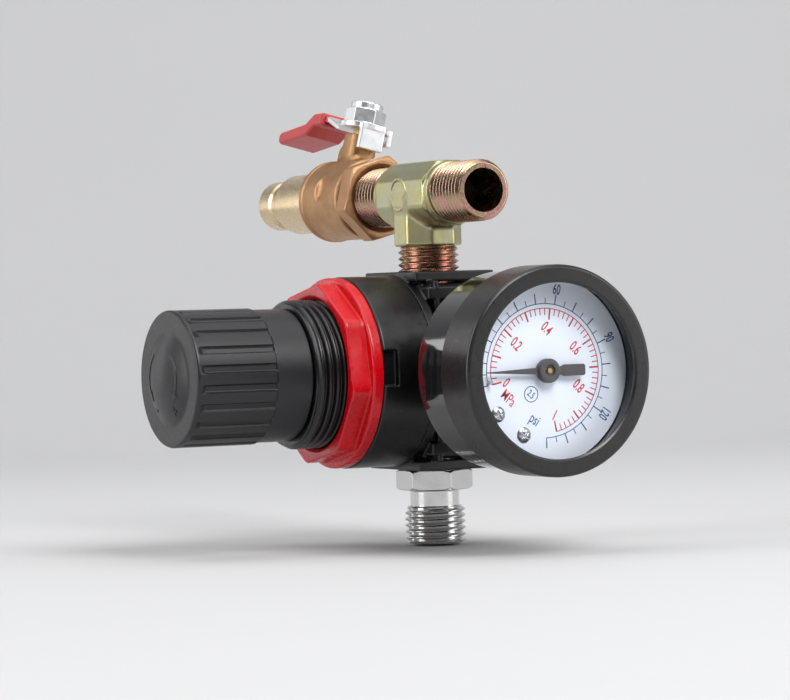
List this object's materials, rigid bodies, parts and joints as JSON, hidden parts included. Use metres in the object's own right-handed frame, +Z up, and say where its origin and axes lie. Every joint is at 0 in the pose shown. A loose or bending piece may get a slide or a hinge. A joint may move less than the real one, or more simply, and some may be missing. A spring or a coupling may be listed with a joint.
{
  "type": "air pressure regulator",
  "caption": "Diaphragm air regulator with push-lock knob, panel nut, round dial gauge, male tee with a mini ball valve on one arm, and a male outlet nipple below.",
  "frame": {"origin": "where the knob axis crosses the axis of the two pipe ports, in the middle of the regulator body", "axes": "+X from the knob into the body, -Y out of the gauge face, +Z up through the tee port; the outlet nipple points down"},
  "size_m": [0.0866, 0.1257, 0.0982],
  "materials": {
    "black_casting": "semi gloss",
    "black_nylon": "satin",
    "red_nylon": "satin",
    "grey_knob": "satin, lightly textured",
    "zinc_steel": "zinc plated",
    "spring_steel": "drawn wire",
    "brass": "machined",
    "rubber": "matte",
    "black_enamel": "gloss",
    "grey_bezel": "satin",
    "clear_lens": "clear",
    "dial_print": "printed scale, red inner and blue outer",
    "grey_pointer": "satin",
    "yellow_zinc": "yellow chromate over zinc",
    "cast_brass": "forged, blasted",
    "chrome_plate": "bright",
    "ptfe": "waxy",
    "red_vinyl": "dip moulded",
    "turned_brass": "turned",
    "nickel_plate": "bright nickel"
  },
  "bodies": {
    "regulator": {"body": "black_casting", "bonnet": "black_nylon", "panel_nut": "red_nylon", "main_spring": "spring_steel", "diaphragm": "rubber", "poppet_spring": "spring_steel", "bottom_cap": "black_nylon", "cap_oring": "rubber", "rear_port_plug": "zinc_steel", "gauge_socket": "brass", "gauge_case": "black_enamel", "gauge_bezel": "grey_bezel", "gauge_lens": "clear_lens", "gauge_dial": "dial_print", "dial_screws": "zinc_steel", "stop_pin": "zinc_steel", "movement_frame": "brass", "bourdon_tube": "brass", "tee": "yellow_zinc", "valve_body": "cast_brass", "front_seat": "ptfe", "rear_seat": "ptfe", "stem_oring": "rubber", "valve_tail": "turned_brass", "outlet_nipple": "nickel_plate"},
    "knob": {"knob": "grey_knob"},
    "screw": {"adjusting_screw": "zinc_steel"},
    "spring_nut": {"spring_nut": "brass"},
    "diaphragm_plate": {"pressure_plate": "brass", "relief_seat": "brass"},
    "poppet": {"poppet": "brass", "poppet_seal": "rubber"},
    "pointer": {"gauge_pointer": "grey_pointer", "pointer_arbor": "brass"},
    "sector": {"sector_gear": "brass"},
    "link": {"sector_link": "brass"},
    "lever": {"lever_plate": "zinc_steel", "lever_sleeve": "red_vinyl", "lock_nut": "chrome_plate", "valve_stem": "brass", "ball": "chrome_plate"}
  },
  "joints": [
    {"name": "knob_turn", "type": "hinge", "parent": "regulator", "child": "screw", "pos_m": [-0.045, 0, 0], "axis": [1, 0, 0], "range_deg": [0, 2160]},
    {"name": "knob_lock", "type": "slide", "parent": "screw", "child": "knob", "axis": [-1, 0, 0], "range_m": [0, 0.0025]},
    {"name": "nut_travel", "type": "slide", "parent": "regulator", "child": "spring_nut", "axis": [1, 0, 0], "range_m": [0, 0.006], "deforming": ["main_spring"]},
    {"name": "diaphragm_lift", "type": "slide", "parent": "regulator", "child": "diaphragm_plate", "axis": [1, 0, 0], "range_m": [0, 0.0012], "stiffness_N_per_m": 900, "springref_m": -0.002, "deforming": ["diaphragm", "main_spring"]},
    {"name": "poppet_lift", "type": "slide", "parent": "regulator", "child": "poppet", "axis": [1, 0, 0], "range_m": [0, 0.0012], "deforming": ["poppet_spring"]},
    {"name": "pointer_turn", "type": "hinge", "parent": "regulator", "child": "pointer", "pos_m": [0, -0.048, 0], "axis": [0, 1, 0], "range_deg": [0, 270], "stiffness_Nm_per_rad": 0.0002, "springref_deg": -22.92},
    {"name": "sector_swing", "type": "hinge", "parent": "regulator", "child": "sector", "pos_m": [0.00739, -0.0384, 0.00881], "axis": [0, 1, 0], "range_deg": [-33.75, 0]},
    {"name": "link_pull", "type": "slide", "parent": "regulator", "child": "link", "axis": [-0.9989, 0, 0.046], "range_m": [0, 0.00255], "deforming": ["bourdon_tube"]},
    {"name": "lever_turn", "type": "hinge", "parent": "regulator", "child": "lever", "pos_m": [0, 0.0363, 0.038], "axis": [0.2419, 0, 0.9703], "range_deg": [-90, 0]}
  ],
  "couplings": [
    {"joint": "nut_travel", "follows": "knob_turn", "m_per_rad": 0.00015915},
    {"joint": "poppet_lift", "follows": "diaphragm_lift", "ratio": 1},
    {"joint": "sector_swing", "follows": "pointer_turn", "ratio": -0.125},
    {"joint": "link_pull", "follows": "pointer_turn", "m_per_rad": 0.00054157}
  ]
}
